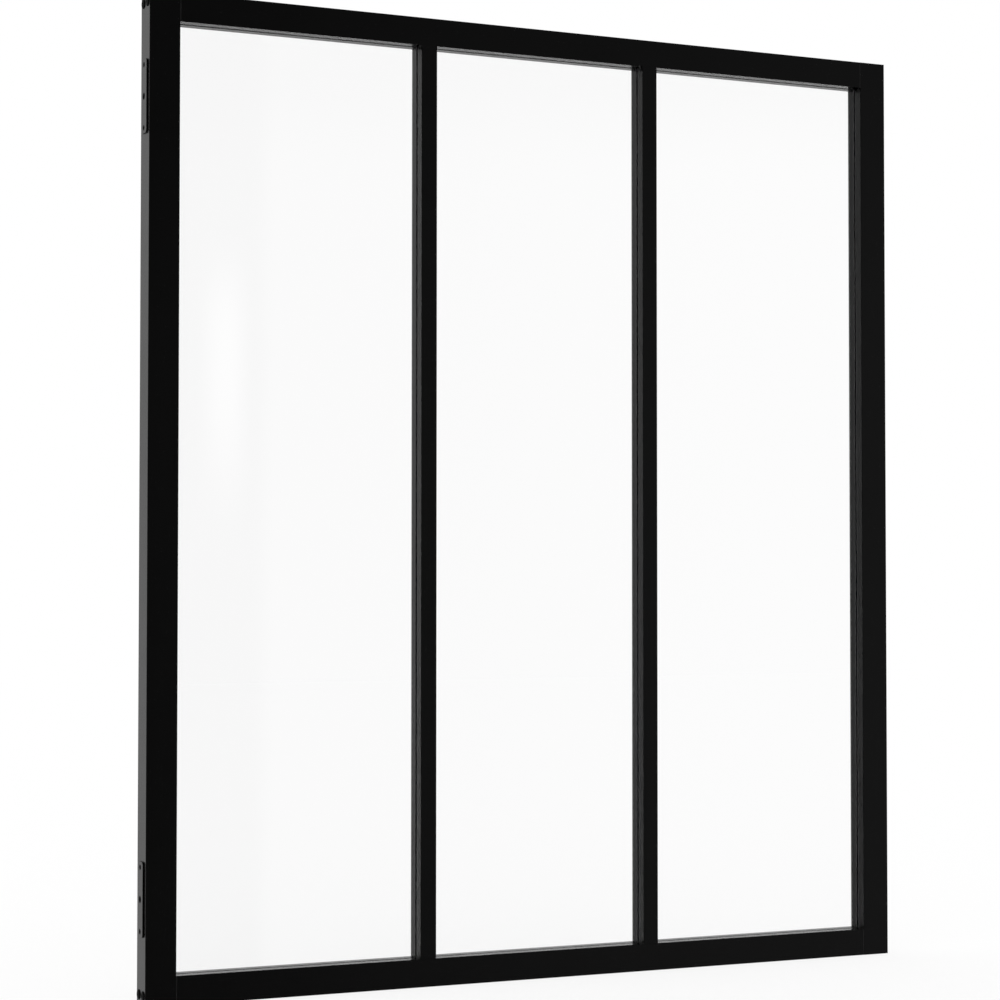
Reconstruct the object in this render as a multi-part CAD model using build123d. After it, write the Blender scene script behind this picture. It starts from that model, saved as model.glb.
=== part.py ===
"""Interior glass partition: a fixed frame of hollow aluminium profiles with three upright lights.

Two stiles run the full height, two rails butt between them, and two mullions butt between the
rails. Every profile has a central glazing groove, and the rails and mullions have channels that
the frame screws bite into. Sizes are in millimetres. X runs along the partition, Y into its depth
and Z up. The origin is on the underside of the bottom rail, at mid-width and mid-depth.
"""

import os

from build123d import *

os.makedirs("parts", exist_ok=True)

# Overall frame
frame_width = 930.0
frame_height = 1080.0
frame_depth = 30.0
mullion_spacing = 279.8

# Profile sections
stile_face = 34.2
rail_face = 31.0
mullion_face = 18.8
wall = 1.4
edge_radius = 0.5

# Glazing grooves
groove_width = 6.4
groove_depth = 10.0

# Screw channels: pairs of ribs that the frame screws bite between
channel_offset = 7.5
channel_width = 3.4
channel_middle = 11.0
channel_top = 15.5
rib = 1.2

# Glass, gaskets and packers
glass_thickness = 5.0
glass_bite = 5.0
gasket_bite = 4.4
gasket_recess = 0.3
block_length = 60.0
block_clearance = 0.3

# Screw holes: plain through the stiles, with a flush countersink in the rails
screw_hole_radius = 2.2
screw_sink_radius = 4.3

# Fixing plates on the outer sides of the stiles
plate_length = 80.0
plate_width = 18.0
plate_thickness = 1.6
plate_corner = 4.0
plate_inset = 112.0
fixing_hole_radius = 3.75
plate_screw_spacing = 68.0
plate_screw_radius = 1.8
plate_sink_radius = 3.1

# Sizes worked out from the driving dimensions
half_width = frame_width / 2
half_depth = frame_depth / 2
half_groove = groove_width / 2
half_channel = channel_width / 2
rail_length = frame_width - 2 * stile_face
mullion_length = frame_height - 2 * rail_face
light_height = mullion_length
mullion_centre = mullion_spacing / 2
inner_light = mullion_spacing - mullion_face
outer_light = rail_length / 2 - mullion_centre - mullion_face / 2
outer_light_centre = mullion_centre + mullion_face / 2 + outer_light / 2
light_middle = frame_height / 2
gasket_thickness = (groove_width - glass_thickness) / 2
mullion_groove_depth = mullion_face / 2 - half_channel - wall

light_widths = {"left": outer_light, "middle": inner_light, "right": outer_light}
light_centres = {"left": -outer_light_centre, "middle": 0.0, "right": outer_light_centre}
sides = {"left": -1, "right": 1}
levels = {"bottom": 0.0, "top": frame_height}
plate_heights = {"lower": plate_inset, "upper": frame_height - plate_inset}


def save(shape, name):
    """Write one sub-part to its own file."""
    export_step(shape, f"parts/{name}.step")


def box_between(low, high):
    """A rectangle in the sketch plane, given by two opposite corners."""
    width = high[0] - low[0]
    height = high[1] - low[1]
    middle = ((low[0] + high[0]) / 2, (low[1] + high[1]) / 2)
    return Pos(*middle) * Rectangle(width, height)


def groove(face, depth, extra=0.0):
    """The glazing groove cut into the top edge of a profile of the given face width."""
    floor = face - depth - extra
    return box_between((-half_groove - extra, floor), (half_groove + extra, face))


def channel_ribs(side):
    """The two ribs of one screw channel, standing on the inside of the outer wall."""
    ribs = Sketch()
    for shift in (-half_channel - rib, half_channel):
        start = side * channel_offset + shift
        ribs += box_between((start, wall / 2), (start + rib, channel_top))
    return ribs


def frame_section(face, channels):
    """Section of a stile or rail: its outer side lies on the first axis, its groove opposite."""
    outline = box_between((-half_depth, 0), (half_depth, face))
    outline = fillet(outline.vertices(), edge_radius)
    chamber = box_between((wall - half_depth, wall), (half_depth - wall, face - wall))
    chamber -= groove(face, groove_depth, wall)
    section = outline - chamber - groove(face, groove_depth)
    for side in channels:
        section += channel_ribs(side)
    return section


def mullion_section():
    """Section of a mullion, centred on its own axis, with a groove on both sides.

    A slit as wide as a screw channel runs from front to back between the two grooves.
    """
    half_face = mullion_face / 2
    outline = box_between((-half_depth, -half_face), (half_depth, half_face))
    section = fillet(outline.vertices(), edge_radius)
    section -= Rectangle(frame_depth - 2 * wall, channel_width)
    pocket = box_between((half_groove + wall, half_channel + rib), (half_depth - wall, half_face - wall))
    for turn in (0, 180):
        half = groove(half_face, mullion_groove_depth) + pocket + mirror(pocket, Plane.YZ)
        section -= Rotation(0, 0, turn) * half
    return section


def drill(point, direction, radius, face):
    """The two holes that one screw or anchor needs: one in the outer wall, one where it comes out."""
    start = Vector(*point)
    along = Vector(*direction)
    holes = []
    for depth in (0, face - wall):
        plane = Plane(origin=start + along * depth, z_dir=along)
        holes.append(extrude(plane * Circle(radius), wall))
    return holes


def countersink(point, outward, mouth_radius, bore_radius):
    """The conical mouth that takes a flush screw head, narrowing to the screw's own hole."""
    depth = mouth_radius - bore_radius
    corners = [(0, 0), (mouth_radius, 0), (bore_radius, -depth), (0, -depth)]
    cone = revolve(Plane.XZ * make_face(Polyline(*corners, close=True)), Axis.Z)
    return Plane(origin=point, z_dir=outward) * cone


def corner_screw_points(side, level):
    """Where the two screws of one corner enter the stile's outer side."""
    height = channel_middle if level == "bottom" else frame_height - channel_middle
    return [(side * half_width, y, height) for y in (-channel_offset, channel_offset)]


def mullion_screw_points(side, level):
    """Where the two screws at one end of a mullion enter the rail's outer side."""
    return [(side * mullion_centre, y, levels[level]) for y in (-channel_offset, channel_offset)]


def stile(side):
    """One full-height stile with its screw holes and wall fixing holes."""
    plane = Plane(origin=(side * half_width, 0, 0), x_dir=(0, side, 0), z_dir=(0, 0, 1))
    solid = extrude(plane * frame_section(stile_face, []), frame_height)
    inward = (-side, 0, 0)
    for level in levels:
        for point in corner_screw_points(side, level):
            solid -= drill(point, inward, screw_hole_radius, stile_face)
    for height in plate_heights.values():
        centre = (side * half_width, 0, height)
        solid -= drill(centre, inward, fixing_hole_radius, stile_face - groove_depth)
    return solid


def rail(level):
    """One rail between the stiles, with countersunk holes for the mullion screws."""
    inward = 1 if level == "bottom" else -1
    start = (-rail_length / 2, 0, levels[level])
    plane = Plane(origin=start, x_dir=(0, inward, 0), z_dir=(1, 0, 0))
    solid = extrude(plane * frame_section(rail_face, (-1, 1)), rail_length)
    for side in sides.values():
        for point in mullion_screw_points(side, level):
            solid -= drill(point, (0, 0, inward), screw_hole_radius, rail_face)
            solid -= countersink(point, (0, 0, -inward), screw_sink_radius, screw_hole_radius)
    return solid


def mullion(side):
    """One mullion between the rails."""
    start = (side * mullion_centre, 0, rail_face)
    plane = Plane(origin=start, x_dir=(0, 1, 0), z_dir=(0, 0, 1))
    return extrude(plane * mullion_section(), mullion_length)


def glass(light):
    """A clear pane that reaches into the grooves on all four sides."""
    width = light_widths[light] + 2 * glass_bite
    height = light_height + 2 * glass_bite
    return Pos(light_centres[light], 0, light_middle) * Box(width, glass_thickness, height)


def gasket(light, side):
    """A ring between the glass and one groove wall, sunk just below the frame's faces."""
    width = light_widths[light]
    outer = Rectangle(width + 2 * gasket_bite, light_height + 2 * gasket_bite)
    inner = Rectangle(width + 2 * gasket_recess, light_height + 2 * gasket_recess)
    start = (light_centres[light], side * glass_thickness / 2, light_middle)
    plane = Plane(origin=start, x_dir=(1, 0, 0), z_dir=(0, side, 0))
    return extrude(plane * (outer - inner), gasket_thickness)


def setting_blocks(light):
    """Two packers between the bottom rail's groove floor and the pane."""
    thickness = groove_depth - glass_bite
    middle = rail_face - groove_depth + thickness / 2
    width = groove_width - 2 * block_clearance
    quarter = light_widths[light] / 4
    block = Box(block_length, width, thickness)
    return [Pos(light_centres[light] + x, 0, middle) * block for x in (-quarter, quarter)]


def fixing_plate(side, height):
    """One plate on the outer side of a stile, with its wall fixing hole and two screw holes."""
    plane = Plane(origin=(side * half_width, 0, height), x_dir=(0, side, 0), z_dir=(side, 0, 0))
    outline = fillet(Rectangle(plate_width, plate_length).vertices(), plate_corner)
    outline -= Circle(fixing_hole_radius)
    outline -= GridLocations(0, plate_screw_spacing, 1, 2) * Circle(plate_screw_radius)
    solid = extrude(plane * outline, plate_thickness)
    outer_side = side * (half_width + plate_thickness)
    for shift in (-plate_screw_spacing / 2, plate_screw_spacing / 2):
        mouth = (outer_side, 0, height + shift)
        solid -= countersink(mouth, (side, 0, 0), plate_sink_radius, plate_screw_radius)
    return solid


def main():
    """Build every sub-part and write it to its file."""
    for name, side in sides.items():
        save(stile(side), f"{name}_stile")
        save(mullion(side), f"{name}_mullion")
        for place, height in plate_heights.items():
            save(fixing_plate(side, height), f"{name}_{place}_plate")
    for level in levels:
        save(rail(level), f"{level}_rail")
    for light in light_widths:
        save(glass(light), f"{light}_glass")
        save(gasket(light, -1), f"{light}_front_gasket")
        save(gasket(light, 1), f"{light}_back_gasket")
        save(Compound(setting_blocks(light)), f"{light}_setting_blocks")


main()
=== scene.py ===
"""Finishes, screws, light and camera for the interior glass partition, built round its frame.

Lengths are in metres, in the frame's own axes: X along the partition, Y into its depth, Z up.
"""

import math

import bpy
from mathutils import Matrix, Vector


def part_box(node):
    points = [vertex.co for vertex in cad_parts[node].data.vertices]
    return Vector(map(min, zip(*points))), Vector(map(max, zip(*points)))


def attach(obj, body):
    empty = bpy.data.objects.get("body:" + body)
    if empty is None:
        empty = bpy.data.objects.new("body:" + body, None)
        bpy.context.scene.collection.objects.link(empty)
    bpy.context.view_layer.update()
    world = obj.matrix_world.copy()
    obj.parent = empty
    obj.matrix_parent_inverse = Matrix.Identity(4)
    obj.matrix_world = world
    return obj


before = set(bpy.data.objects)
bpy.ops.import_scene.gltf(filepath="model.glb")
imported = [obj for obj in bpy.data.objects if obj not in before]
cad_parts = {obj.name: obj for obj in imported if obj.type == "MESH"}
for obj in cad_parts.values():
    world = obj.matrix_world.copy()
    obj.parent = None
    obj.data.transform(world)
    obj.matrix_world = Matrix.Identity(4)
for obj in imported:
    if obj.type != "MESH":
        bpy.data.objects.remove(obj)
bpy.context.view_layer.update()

# Camera, fitted to the edges of the photographed frame: its angles are in degrees, its lens and
# sensor in millimetres
CAMERA_PLACE = (-1.2607, -2.6025, 0.4500)
CAMERA_YAW = 25.028
CAMERA_PITCH = 1.821
CAMERA_ROLL = -0.02
CAMERA_LENS = 91.11
SENSOR_WIDTH = 36.0
CLIP_START = 0.02
CLIP_END = 60.0

# Room, in degrees from straight in front of the frame towards +X: a dim side that the paint
# and the panes mirror, a paler one beside it, and white from the sides round to the back. Above
# the ceiling's angles, in degrees upwards, the front keeps only a share of its level
DIM_LEVEL = 0.14
DIM_END = 19.7
DIM_BLUR = 0.3
PALE_LEVELS = (0.45, 0.68)
PALE_END = 34.0
SIDE_START = 38.0
SIDE_END = 88.0
CEILING_START = 9.0
CEILING_END = 11.5
CEILING_SHARE = 0.55

# Faint upright streak in the dim side: the level it adds, and the angles, in degrees to the side
# and upwards, where it starts, is full, begins to fade and is gone
STREAK_LEVEL = 0.6
STREAK_ACROSS = (18.1, 18.8, 18.9, 19.5)
STREAK_ALONG = (0.5, 4.5, 5.5, 8.0)

# Floor
FLOOR_HALF = 8.0
FLOOR_GAP = 0.0005
FLOOR_GLOW = 0.82

# Busy middle of a noise that runs from 0 to 1
NOISE_LOW = 0.3
NOISE_HIGH = 0.7

# Black coat of the frame and plates, and the oxide of the screws
COAT_IOR = 1.45
COAT_GREY = 0.0017
COAT_ROUGHNESS = 0.22
COAT_MIRROR = 0.125
COAT_GRAIN = 1100.0
OXIDE_GREY = 0.003
OXIDE_ROUGHNESS = 0.5
OXIDE_MIRROR = 0.03
OXIDE_GRAIN = 2500.0
GRAIN_HEIGHT = 0.00001

# Painted highlight along the rails' cut ends, where they butt against the stiles: a lighter grey in the
# colour stands in for light caught at the joint
JOINT_HIGHLIGHT_WIDTH = 0.0007
JOINT_HIGHLIGHT_GREY = 0.015

# Glass, and the matt rubber and plastic round it
GLASS_IOR = 1.5
FILM_ROUGHNESS = 0.004
RUBBER_GREY = 0.18
RUBBER_GRAIN = 900.0
PACKER_GREY = 0.03
PACKER_GRAIN = 400.0
MATT_ROUGHNESS = 0.5
MATT_MIRROR = 0.2
PIT_HEIGHT = 0.00005

# Frame screws, with low round heads on the stiles
CHANNEL_OFFSET = 0.0075
CHANNEL_MIDDLE = 0.0110
HEAD_RADIUS = 0.0052
HEAD_HEIGHT = 0.0016
HEAD_RIM = 0.3
HEAD_ANGLES = (12, 30, 50, 70, 90)
SCREW_CORE = 0.0016
SCREW_THREAD = 0.0019
SCREW_PITCH = 0.0014
SCREW_GRIP = 0.024

# Flush screws, in the rails and in the plates
SUNK_EDGE = 0.0002
SUNK_RADIUS = 0.0042
SUNK_GAP = 0.00005
PLATE_SCREW_SPACING = 0.0680
PLATE_HEAD_RADIUS = 0.0026
PLATE_HEAD_GAP = 0.0004
PLATE_SCREW_CORE = 0.0013
PLATE_SCREW_THREAD = 0.00165
PLATE_SCREW_PITCH = 0.0012
PLATE_SCREW_LENGTH = 0.013

# Threads and points, as shares of the pitch and of the core's radius
THREAD_LEAD = 0.4
THREAD_FLANK = 0.25
THREAD_CREST = 0.1
POINT_PITCHES = 2
POINT_SHARE = 0.25

# Driver recesses: a cross that narrows to a share of its size, and a six-sided socket
CUTTER_TOP = 0.0003
CROSS_REACH = 0.0023
CROSS_WIDTH = 0.0010
CROSS_DEPTH = 0.0012
CROSS_TIP = 0.45
WING_TIP = 0.78
SOCKET_RADIUS = 0.0016
SOCKET_DEPTH = 0.0011
SOCKET_SIDES = 6

# Round shapes: steps in a full turn, and the angle in degrees from which an edge stays sharp
ROUND_STEPS = 48
SHARP_ANGLE = 32

SIDES = {"left": -1, "right": 1}
LEVELS = ("bottom", "top")
LIGHTS = ("left", "middle", "right")


def new_material(name):
    """A material with an empty tree, and its shader wired to the output."""
    material = bpy.data.materials.new(name)
    material.use_nodes = True
    tree = material.node_tree
    tree.nodes.clear()
    output = tree.nodes.new("ShaderNodeOutputMaterial")
    shader = tree.nodes.new("ShaderNodeBsdfPrincipled")
    tree.links.new(shader.outputs["BSDF"], output.inputs["Surface"])
    return material, tree, shader


def find_node(tree, kind):
    """The one node of a kind in a tree."""
    return next(node for node in tree.nodes if node.type == kind)


def calculate(tree, operation, *values):
    """One sum on sockets and plain numbers."""
    node = tree.nodes.new("ShaderNodeMath")
    node.operation = operation
    for slot, value in zip(node.inputs, values):
        if isinstance(value, (int, float)):
            slot.default_value = value
        else:
            tree.links.new(value, slot)
    return node.outputs["Value"]


def blend(tree, factor, first, second):
    """Mix two levels, each a socket or a plain number."""
    rest = calculate(tree, "SUBTRACT", 1.0, factor)
    kept = calculate(tree, "MULTIPLY", rest, first)
    return calculate(tree, "ADD", kept, calculate(tree, "MULTIPLY", factor, second))


def rise(tree, angle, start, end, low=0.0, high=1.0):
    """A soft step from one level to another between two angles in degrees."""
    node = tree.nodes.new("ShaderNodeMapRange")
    node.interpolation_type = "SMOOTHSTEP"
    node.inputs["From Min"].default_value = math.radians(start)
    node.inputs["From Max"].default_value = math.radians(end)
    node.inputs["To Min"].default_value = low
    node.inputs["To Max"].default_value = high
    tree.links.new(angle, node.inputs["Value"])
    return node.outputs["Result"]


def hump(tree, angle, start, full, fading, gone):
    """A soft rise and fall over four angles in degrees."""
    return calculate(tree, "MULTIPLY", rise(tree, angle, start, full), rise(tree, angle, gone, fading))


def noise(tree, scale, detail):
    """Noise in the part's own coordinates, from 0 to 1."""
    place = tree.nodes.new("ShaderNodeTexCoord")
    texture = tree.nodes.new("ShaderNodeTexNoise")
    texture.inputs["Scale"].default_value = scale
    texture.inputs["Detail"].default_value = detail
    tree.links.new(place.outputs["Object"], texture.inputs["Vector"])
    return texture.outputs["Fac"]


def spread(tree, source, low, high):
    """Stretch the busy middle of a noise over a range of values."""
    node = tree.nodes.new("ShaderNodeMapRange")
    node.inputs["From Min"].default_value = NOISE_LOW
    node.inputs["From Max"].default_value = NOISE_HIGH
    node.inputs["To Min"].default_value = low
    node.inputs["To Max"].default_value = high
    tree.links.new(source, node.inputs["Value"])
    return node.outputs["Result"]


def mottle(tree, source, grey, share):
    """Vary a grey by a share of itself, following a noise."""
    node = tree.nodes.new("ShaderNodeMix")
    node.data_type = "RGBA"
    for end, level in (("A", grey * (1 - share)), ("B", grey * (1 + share))):
        node.inputs[end].default_value = (level, level, level, 1.0)
    tree.links.new(source, node.inputs["Factor"])
    return node.outputs["Result"]


def bump(tree, shader, source, height, strength):
    """Raise a surface by a noise."""
    node = tree.nodes.new("ShaderNodeBump")
    node.inputs["Distance"].default_value = height
    node.inputs["Strength"].default_value = strength
    tree.links.new(source, node.inputs["Height"])
    tree.links.new(node.outputs["Normal"], shader.inputs["Normal"])


def coating(name, grey, roughness, mirror, grain):
    """A black coat with a faint orange-peel grain and small changes of sheen."""
    material, tree, shader = new_material(name)
    shader.inputs["IOR"].default_value = COAT_IOR
    shader.inputs["Specular IOR Level"].default_value = mirror
    colour = mottle(tree, noise(tree, scale=14.0, detail=4.0), grey, share=0.2)
    tree.links.new(colour, shader.inputs["Base Color"])
    cloud = noise(tree, scale=55.0, detail=5.0)
    sheen = spread(tree, cloud, low=roughness * 0.9, high=roughness * 1.1)
    tree.links.new(sheen, shader.inputs["Roughness"])
    bump(tree, shader, noise(tree, grain, detail=3.0), GRAIN_HEIGHT, strength=0.3)
    return material


def black_coat(name):
    """The powder coat of the frame and its plates."""
    return coating(name, COAT_GREY, COAT_ROUGHNESS, COAT_MIRROR, COAT_GRAIN)


def paint_joint_highlight(material, half_length):
    """Paint a lighter grey along the edges of a rail's cut ends: a painted highlight at the joint."""
    tree = material.node_tree
    shader = find_node(tree, "BSDF_PRINCIPLED")
    coat = shader.inputs["Base Color"].links[0].from_socket
    place = tree.nodes.new("ShaderNodeTexCoord")
    parts = tree.nodes.new("ShaderNodeSeparateXYZ")
    tree.links.new(place.outputs["Object"], parts.inputs["Vector"])
    reach = calculate(tree, "ABSOLUTE", parts.outputs["X"])
    highlight_band = calculate(tree, "GREATER_THAN", reach, half_length - JOINT_HIGHLIGHT_WIDTH)
    highlight_strength = spread(tree, noise(tree, scale=300.0, detail=3.0), low=0.6, high=1.0)
    # Painted highlight: the colour turns a lighter grey in a thin band at each cut end, with patchy
    # strength
    mix = tree.nodes.new("ShaderNodeMix")
    mix.data_type = "RGBA"
    mix.inputs["B"].default_value = (JOINT_HIGHLIGHT_GREY, JOINT_HIGHLIGHT_GREY, JOINT_HIGHLIGHT_GREY, 1.0)
    tree.links.new(calculate(tree, "MULTIPLY", highlight_band, highlight_strength), mix.inputs["Factor"])
    tree.links.new(coat, mix.inputs["A"])
    tree.links.new(mix.outputs["Result"], shader.inputs["Base Color"])


def clear_glass():
    """Clear toughened glass with the faintest film on it."""
    material, tree, shader = new_material("clear_glass")
    shader.inputs["Base Color"].default_value = (1.0, 1.0, 1.0, 1.0)
    shader.inputs["Transmission Weight"].default_value = 1.0
    shader.inputs["IOR"].default_value = GLASS_IOR
    film = spread(tree, noise(tree, scale=5.0, detail=6.0), low=0.0, high=FILM_ROUGHNESS)
    tree.links.new(film, shader.inputs["Roughness"])
    return material


def matt(name, grey, grain):
    """Rubber or plastic, with a fine pitted grain."""
    material, tree, shader = new_material(name)
    shader.inputs["Specular IOR Level"].default_value = MATT_MIRROR
    pits = noise(tree, grain, detail=4.0)
    tree.links.new(mottle(tree, pits, grey, share=0.3), shader.inputs["Base Color"])
    sheen = spread(tree, pits, low=MATT_ROUGHNESS * 0.9, high=MATT_ROUGHNESS)
    tree.links.new(sheen, shader.inputs["Roughness"])
    bump(tree, shader, pits, PIT_HEIGHT, strength=0.4)
    return material


def paint(node, material):
    """Give a frame node its finish."""
    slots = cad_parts[node].data.materials
    slots.clear()
    slots.append(material)


def paint_frame():
    """Finishes for all the nodes that the frame brings."""
    aluminium = black_coat("painted_aluminium")
    rail_coat = black_coat("painted_rails")
    paint_joint_highlight(rail_coat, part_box("top_rail")[1].x)
    steel = black_coat("painted_steel")
    glass = clear_glass()
    rubber = matt("gasket_rubber", RUBBER_GREY, RUBBER_GRAIN)
    packer = matt("packer_plastic", PACKER_GREY, PACKER_GRAIN)
    for side in SIDES:
        paint(f"{side}_stile", aluminium)
        paint(f"{side}_mullion", aluminium)
        paint(f"{side}_lower_plate", steel)
        paint(f"{side}_upper_plate", steel)
    for level in LEVELS:
        paint(f"{level}_rail", rail_coat)
    for light in LIGHTS:
        paint(f"{light}_glass", glass)
        paint(f"{light}_front_gasket", rubber)
        paint(f"{light}_back_gasket", rubber)
        paint(f"{light}_setting_blocks", packer)


def lathe(name, outline):
    """A solid turned about Z from (radius, height) points that start and end on the axis."""
    points = []
    faces = []
    rings = outline[1:-1]
    for radius, height in rings:
        for step in range(ROUND_STEPS):
            angle = 2 * math.pi * step / ROUND_STEPS
            points.append((radius * math.cos(angle), radius * math.sin(angle), height))
    for ring in range(len(rings) - 1):
        for step in range(ROUND_STEPS):
            here = ring * ROUND_STEPS + step
            beside = ring * ROUND_STEPS + (step + 1) % ROUND_STEPS
            faces.append((here, here + ROUND_STEPS, beside + ROUND_STEPS, beside))
    faces.append(tuple(range(ROUND_STEPS)))
    last = (len(rings) - 1) * ROUND_STEPS
    faces.append(tuple(reversed(range(last, last + ROUND_STEPS))))
    mesh = bpy.data.meshes.new(name)
    mesh.from_pydata(points, [], faces)
    return mesh


def thread(core, crest, pitch, start, end):
    """Outline of a shank with rings for its thread, from start down to a short point at end."""
    outline = [(core, start)]
    count = int((start - end) / pitch) - POINT_PITCHES
    flank = pitch * THREAD_FLANK
    land = pitch * THREAD_CREST
    for turn in range(count):
        top = start - pitch * (turn + THREAD_LEAD)
        bottom = top - 2 * flank - land
        outline += [(core, top), (crest, top - flank), (crest, bottom + flank), (core, bottom)]
    outline += [(core, end + POINT_PITCHES * pitch), (core * POINT_SHARE, end), (0, end)]
    return outline


def prism(plans):
    """A closed shape between two plans of (x, y, height) points, the upper plan first."""
    upper, lower = plans
    count = len(upper)
    sides = [(i, i + count, (i + 1) % count + count, (i + 1) % count) for i in range(count)]
    ends = [tuple(reversed(range(count))), tuple(range(count, 2 * count))]
    mesh = bpy.data.meshes.new("driver")
    mesh.from_pydata(upper + lower, [], sides + ends)
    return mesh


def cross_cutter():
    """A tapering four-winged driver shape, its top just over the head."""
    plans = []
    for height, arm_share, wing_share in ((CUTTER_TOP, 1.0, 1.0), (-CROSS_DEPTH, CROSS_TIP, WING_TIP)):
        arm = CROSS_REACH * arm_share
        half = CROSS_WIDTH * wing_share / 2
        plan = [(arm, -half), (arm, half), (half, half), (half, arm), (-half, arm), (-half, half),
                (-arm, half), (-arm, -half), (-half, -half), (-half, -arm), (half, -arm), (half, -half)]
        plans.append([(x, y, height) for x, y in plan])
    return prism(plans)


def socket_cutter():
    """A six-sided socket shape, its top just over the head."""
    angles = [2 * math.pi * step / SOCKET_SIDES for step in range(SOCKET_SIDES)]
    plan = [(SOCKET_RADIUS * math.cos(angle), SOCKET_RADIUS * math.sin(angle)) for angle in angles]
    return prism([[(x, y, height) for x, y in plan] for height in (CUTTER_TOP, -SOCKET_DEPTH)])


def cut(mesh, cutter, height):
    """Sink a driver recess into the top of a screw."""
    cutter.transform(Matrix.Translation((0, 0, height)))
    body = bpy.data.objects.new("body", mesh)
    tool = bpy.data.objects.new("tool", cutter)
    for thing in (body, tool):
        bpy.context.scene.collection.objects.link(thing)
    modifier = body.modifiers.new("recess", "BOOLEAN")
    modifier.object = tool
    modifier.operation = "DIFFERENCE"
    modifier.solver = "EXACT"
    graph = bpy.context.evaluated_depsgraph_get()
    result = bpy.data.meshes.new_from_object(body.evaluated_get(graph))
    for thing in (body, tool):
        bpy.data.objects.remove(thing)
    return result


def stile_face():
    """Width of a stile across its face."""
    low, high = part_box("left_stile")
    return high.x - low.x


def rail_face():
    """Height of a rail across its face."""
    low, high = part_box("bottom_rail")
    return high.z - low.z


def pan_screw():
    """A low round-headed screw, its head standing on the plane Z = 0."""
    outline = [(0, HEAD_HEIGHT)]
    for angle in HEAD_ANGLES:
        across = math.sin(math.radians(angle))
        up = math.cos(math.radians(angle))
        outline.append((HEAD_RADIUS * across, HEAD_HEIGHT * (HEAD_RIM + (1 - HEAD_RIM) * up)))
    outline.append((HEAD_RADIUS, 0))
    outline += thread(SCREW_CORE, SCREW_THREAD, SCREW_PITCH, 0, -stile_face() - SCREW_GRIP)
    return cut(lathe("pan_screw", outline), cross_cutter(), HEAD_HEIGHT)


def sunk_screw(head_radius, gap, core, crest, pitch, length, cutter):
    """A countersunk screw, its flat top a small gap below the plane Z = 0."""
    neck = -gap - SUNK_EDGE - (head_radius - core)
    outline = [(0, -gap), (head_radius - SUNK_EDGE, -gap), (head_radius, -gap - SUNK_EDGE)]
    outline += thread(core, crest, pitch, neck, -length)
    return cut(lathe("sunk_screw", outline), cutter, -gap)


def place_screw(mesh, name, material, point, outward, turn):
    """Set a copy of a screw at a point, its head facing outward, turned by an angle in radians."""
    copy = mesh.copy()
    aim = Vector((0, 0, 1)).rotation_difference(Vector(outward)).to_matrix().to_4x4()
    copy.transform(Matrix.Translation(point) @ aim @ Matrix.Rotation(turn, 4, "Z"))
    copy.shade_smooth()
    copy.set_sharp_from_angle(angle=math.radians(SHARP_ANGLE))
    copy.materials.clear()
    copy.materials.append(material)
    screw = bpy.data.objects.new(name, copy)
    bpy.context.scene.collection.objects.link(screw)
    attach(screw, "root")


def add_corner_screws(material):
    """Two round-headed screws through each stile into each rail end, each turned its own way."""
    mesh = pan_screw()
    for side, sign in SIDES.items():
        low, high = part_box(f"{side}_stile")
        outer = low.x if sign < 0 else high.x
        for level in LEVELS:
            height = CHANNEL_MIDDLE if level == "bottom" else high.z - CHANNEL_MIDDLE
            for index, depth in enumerate((-CHANNEL_OFFSET, CHANNEL_OFFSET)):
                name = f"{side}_{level}_corner_screw_{index + 1}"
                turn = 0.5 + sign * 0.9 + index * 1.3 + (0.4 if level == "top" else 0.0)
                place_screw(mesh, name, material, (outer, depth, height), (sign, 0, 0), turn)


def add_mullion_screws(material):
    """Two flush screws through each rail into each mullion end, each turned its own way."""
    length = rail_face() + SCREW_GRIP
    mesh = sunk_screw(SUNK_RADIUS, SUNK_GAP, SCREW_CORE, SCREW_THREAD, SCREW_PITCH, length, cross_cutter())
    for side in SIDES:
        low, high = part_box(f"{side}_mullion")
        middle = (low.x + high.x) / 2
        for level in LEVELS:
            low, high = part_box(f"{level}_rail")
            height = low.z if level == "bottom" else high.z
            facing = (0, 0, -1) if level == "bottom" else (0, 0, 1)
            for index, depth in enumerate((-CHANNEL_OFFSET, CHANNEL_OFFSET)):
                name = f"{side}_mullion_{level}_screw_{index + 1}"
                turn = 0.3 + index * 1.1 + middle * 4
                place_screw(mesh, name, material, (middle, depth, height), facing, turn)


def add_plate_screws(material):
    """Two small flush screws that hold each plate to its stile, each turned its own way."""
    mesh = sunk_screw(PLATE_HEAD_RADIUS, PLATE_HEAD_GAP, PLATE_SCREW_CORE, PLATE_SCREW_THREAD,
                      PLATE_SCREW_PITCH, PLATE_SCREW_LENGTH, socket_cutter())
    for side, sign in SIDES.items():
        for place in ("lower", "upper"):
            low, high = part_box(f"{side}_{place}_plate")
            outer = low.x if sign < 0 else high.x
            middle = (low.z + high.z) / 2
            for index, shift in enumerate((-PLATE_SCREW_SPACING / 2, PLATE_SCREW_SPACING / 2)):
                name = f"{side}_{place}_plate_screw_{index + 1}"
                turn = 0.8 + index + middle
                place_screw(mesh, name, material, (outer, 0, middle + shift), (sign, 0, 0), turn)


def add_screws():
    """All the frame's small fasteners."""
    oxide = coating("black_screws", OXIDE_GREY, OXIDE_ROUGHNESS, OXIDE_MIRROR, OXIDE_GRAIN)
    add_corner_screws(oxide)
    add_mullion_screws(oxide)
    add_plate_screws(oxide)


def add_camera():
    """A camera at the photograph's place and angle."""
    data = bpy.data.cameras.new("camera")
    data.sensor_fit = "HORIZONTAL"
    data.sensor_width = SENSOR_WIDTH
    data.lens = CAMERA_LENS
    data.clip_start = CLIP_START
    data.clip_end = CLIP_END
    camera = bpy.data.objects.new("camera", data)
    bpy.context.scene.collection.objects.link(camera)
    camera.location = CAMERA_PLACE
    turns = (90 + CAMERA_PITCH, CAMERA_ROLL, -CAMERA_YAW)
    camera.rotation_euler = [math.radians(turn) for turn in turns]
    bpy.context.scene.camera = camera


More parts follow.
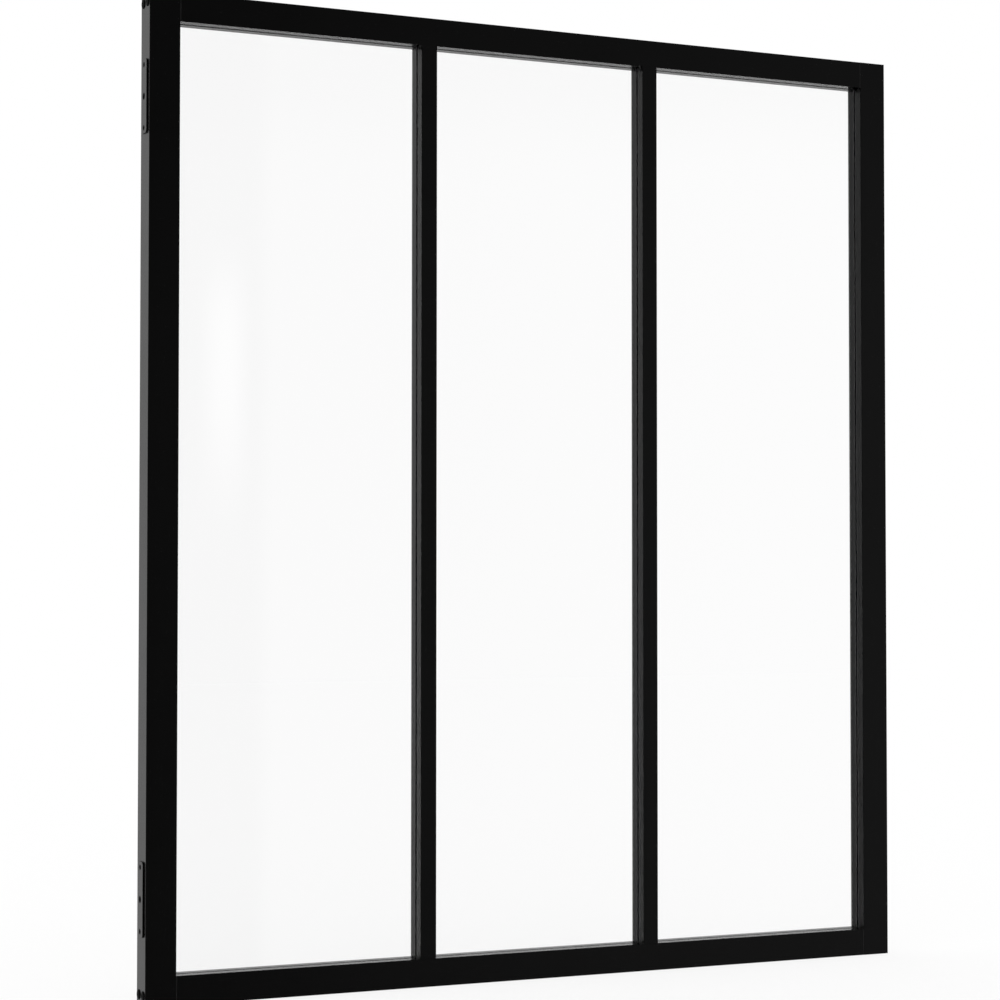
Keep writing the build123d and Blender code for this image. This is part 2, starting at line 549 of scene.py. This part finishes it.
def mirrored_ray(tree):
    """1 for a ray that a shiny surface sent back, 0 for one that only went through the panes."""
    path = tree.nodes.new("ShaderNodeLightPath")
    returned = calculate(tree, "GREATER_THAN", path.outputs["Glossy Depth"], 0.5)
    return calculate(tree, "MULTIPLY", path.outputs["Is Glossy Ray"], returned)


def pale_floor():
    """The floor's material.

    Mirrored rays pass through it to the room. To the camera and through the panes it glows a
    little, so that its far part is as white as the room.
    """
    material, tree, shader = new_material("pale_floor")
    shader.inputs["Base Color"].default_value = (1.0, 1.0, 1.0, 1.0)
    shader.inputs["Specular IOR Level"].default_value = 0.0
    shader.inputs["Roughness"].default_value = 1.0
    output = find_node(tree, "OUTPUT_MATERIAL")
    white = tree.nodes.new("ShaderNodeEmission")
    clear = tree.nodes.new("ShaderNodeBsdfTransparent")
    path = tree.nodes.new("ShaderNodeLightPath")
    seen = calculate(tree, "MAXIMUM", path.outputs["Is Camera Ray"], path.outputs["Is Transmission Ray"])
    glow = tree.nodes.new("ShaderNodeMixShader")
    tree.links.new(calculate(tree, "MULTIPLY", seen, FLOOR_GLOW), glow.inputs["Fac"])
    tree.links.new(shader.outputs["BSDF"], glow.inputs[1])
    tree.links.new(white.outputs["Emission"], glow.inputs[2])
    open_to_mirrors = tree.nodes.new("ShaderNodeMixShader")
    tree.links.new(mirrored_ray(tree), open_to_mirrors.inputs["Fac"])
    tree.links.new(glow.outputs["Shader"], open_to_mirrors.inputs[1])
    tree.links.new(clear.outputs["BSDF"], open_to_mirrors.inputs[2])
    tree.links.new(open_to_mirrors.outputs["Shader"], output.inputs["Surface"])
    return material


def add_floor():
    """A plain pale floor that keeps the object's shadow."""
    mesh = bpy.data.meshes.new("floor")
    corners = ((-1, -1), (1, -1), (1, 1), (-1, 1))
    points = [(x * FLOOR_HALF, y * FLOOR_HALF, -FLOOR_GAP) for x, y in corners]
    mesh.from_pydata(points, [], [(0, 1, 2, 3)])
    mesh.materials.append(pale_floor())
    floor = bpy.data.objects.new("floor", mesh)
    bpy.context.scene.collection.objects.link(floor)


def mirrored_room(tree):
    """Brightness of the room as mirrors see it, by direction."""
    place = tree.nodes.new("ShaderNodeTexCoord")
    parts = tree.nodes.new("ShaderNodeSeparateXYZ")
    tree.links.new(place.outputs["Generated"], parts.inputs["Vector"])
    ahead = calculate(tree, "MULTIPLY", parts.outputs["Y"], -1.0)
    azimuth = calculate(tree, "ARCTAN2", parts.outputs["X"], ahead)
    elevation = calculate(tree, "ARCSINE", parts.outputs["Z"])
    pale = rise(tree, azimuth, DIM_END, PALE_END, *PALE_LEVELS)
    front = blend(tree, rise(tree, azimuth, DIM_END - DIM_BLUR, DIM_END + DIM_BLUR), DIM_LEVEL, pale)
    across = hump(tree, azimuth, *STREAK_ACROSS)
    along = hump(tree, elevation, *STREAK_ALONG)
    streak = calculate(tree, "MULTIPLY", across, along)
    front = calculate(tree, "ADD", front, calculate(tree, "MULTIPLY", streak, STREAK_LEVEL))
    ceiling = rise(tree, elevation, CEILING_START, CEILING_END, 1.0, CEILING_SHARE)
    front = calculate(tree, "MULTIPLY", front, ceiling)
    beside = calculate(tree, "ABSOLUTE", azimuth)
    return blend(tree, rise(tree, beside, SIDE_START, SIDE_END), front, 1.0)


def add_room():
    """A white room all round, with a dimmer front that only mirrored rays find."""
    world = bpy.data.worlds.new("room")
    bpy.context.scene.world = world
    world.use_nodes = True
    world.cycles.sampling_method = "NONE"
    tree = world.node_tree
    tree.nodes.clear()
    output = tree.nodes.new("ShaderNodeOutputWorld")
    light = tree.nodes.new("ShaderNodeBackground")
    light.inputs["Color"].default_value = (1.0, 1.0, 1.0, 1.0)
    level = blend(tree, mirrored_ray(tree), 1.0, mirrored_room(tree))
    tree.links.new(level, light.inputs["Strength"])
    tree.links.new(light.outputs["Background"], output.inputs["Surface"])


paint_frame()
add_screws()
add_camera()
add_floor()
add_room()
bpy.context.scene.view_settings.view_transform = "Standard"

bpy.context.view_layer.update()
